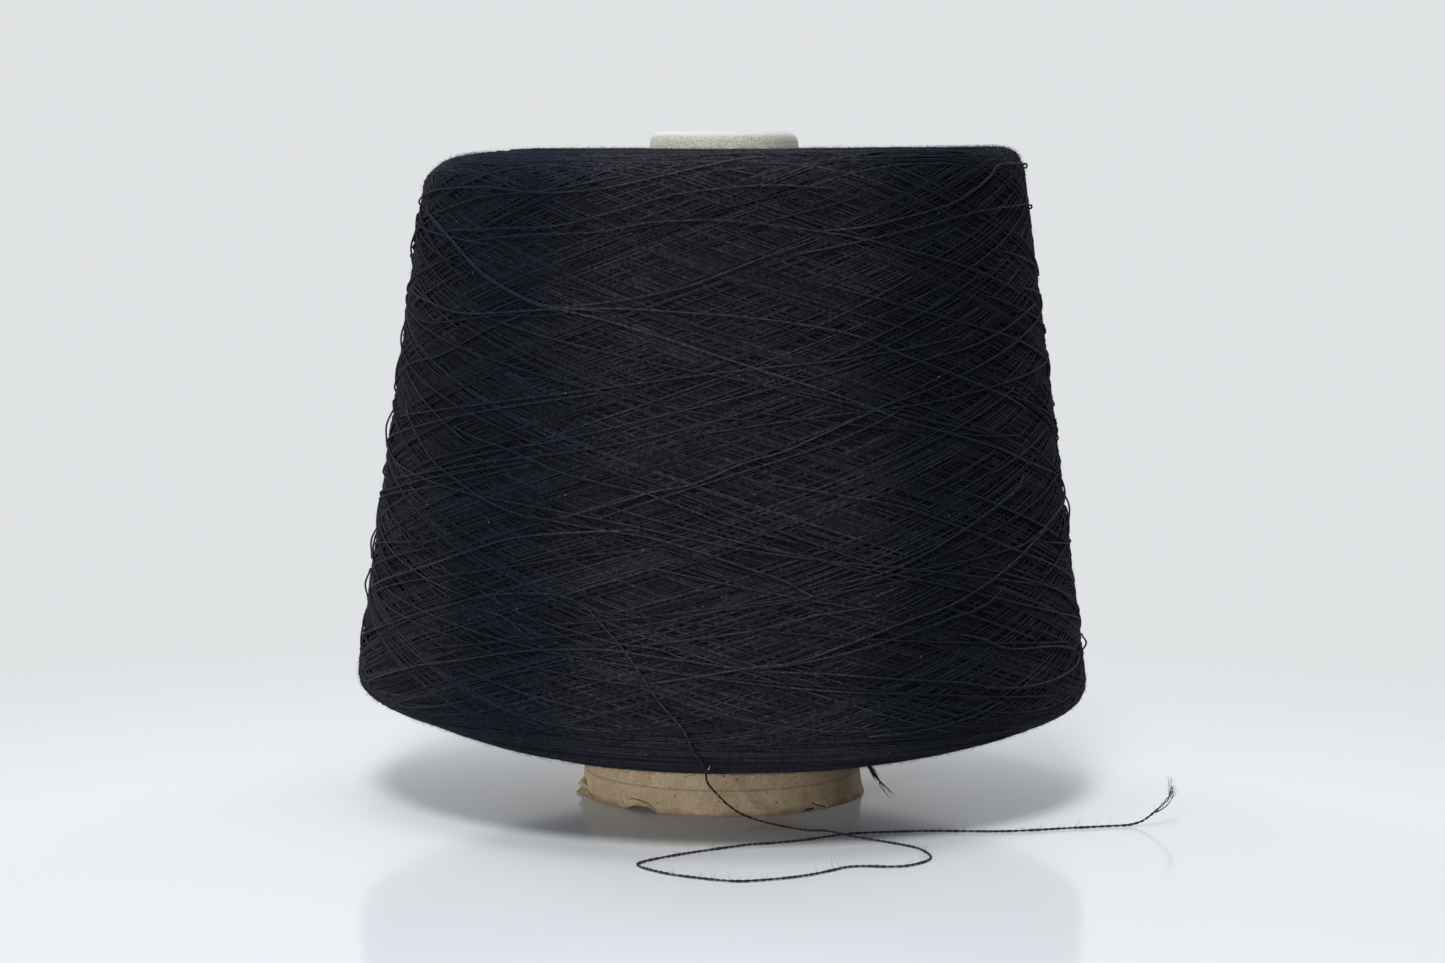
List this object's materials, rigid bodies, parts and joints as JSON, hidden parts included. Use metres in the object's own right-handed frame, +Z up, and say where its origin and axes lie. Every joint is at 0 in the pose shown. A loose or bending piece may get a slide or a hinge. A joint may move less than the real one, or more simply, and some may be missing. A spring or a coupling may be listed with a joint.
{
  "type": "cone of thread",
  "caption": "Tapered package of black thread cross-wound on a hollow paper cone with a pale nose, standing on its wide end, with a loose thread tail to draw from.",
  "frame": {"origin": "centre of the paper cone's base ring, on the surface it stands on", "axes": "+Z up along the cone's axis from its base to its nose, -Y towards the side where the thread tail leaves, +X to the right seen from there"},
  "size_m": [0.2033, 0.2053, 0.17],
  "materials": {
    "kraft_paper": "brown kraft paper, matte, fibrous",
    "pale_nose": "off-white velvety grain",
    "thread_inner": "black spun thread, matte",
    "thread_outer": "black spun thread, matte, slightly fuzzy",
    "thread_loose": "black two-ply thread, matte, slightly fuzzy"
  },
  "bodies": {
    "cone": {"paper_cone": "kraft_paper", "nose_sleeve": "pale_nose"},
    "package": {"wound_core": "thread_inner", "outer_winding": "thread_outer", "thread_tail": "thread_loose", "tail_loose_ply": "thread_loose", "start_tail": "thread_loose"}
  },
  "joints": [
    {"name": "package_lift", "type": "slide", "parent": "cone", "child": "package", "axis": [0, 0, 1], "range_m": [0, 0.165]}
  ]
}
